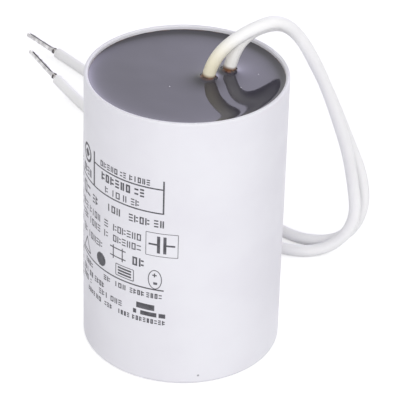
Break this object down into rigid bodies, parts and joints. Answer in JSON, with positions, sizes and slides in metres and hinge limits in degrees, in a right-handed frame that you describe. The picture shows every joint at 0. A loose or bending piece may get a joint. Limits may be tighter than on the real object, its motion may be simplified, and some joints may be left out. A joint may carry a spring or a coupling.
{
  "type": "motor start capacitor",
  "caption": "White round plastic-cased film capacitor for a motor, potted in dark glossy resin, with flexible leads that arch over the rim and end in crimped sleeves.",
  "frame": {"origin": "middle of the base of the cup, on the surface it stands on", "axes": "+Z along the cup's axis, towards the resin and the leads; the leads arch over the rim towards +X and lie behind the cup, towards +Y; the picture looks along +Y from above"},
  "size_m": [0.0908, 0.1616, 0.0786],
  "materials": {
    "case_plastic": "smooth moulded plastic with a soft sheen",
    "potting_resin": "self-levelled resin, very glossy",
    "winding_film": "metallised film edge, silvery",
    "core_plastic": "plain moulded tube",
    "sprayed_metal": "sprayed zinc, grainy and dull",
    "solder": "smooth solder, slightly dull",
    "lead_insulation": "soft white insulation with a satin surface",
    "conductor_strands": "tinned copper strands",
    "sleeve_metal": "tinned copper, crimped"
  },
  "bodies": {
    "root": {"case": "case_plastic", "resin_fill": "potting_resin", "film_roll": "winding_film", "core_tube": "core_plastic", "contact_top": "sprayed_metal", "contact_bottom": "sprayed_metal", "solder_joint_top": "solder", "solder_joint_bottom": "solder", "lead_1_insulation": "lead_insulation", "lead_1_conductor": "conductor_strands", "lead_2_insulation": "lead_insulation", "lead_2_conductor": "conductor_strands", "end_sleeve_1": "sleeve_metal", "end_sleeve_2": "sleeve_metal"}
  },
  "joints": []
}
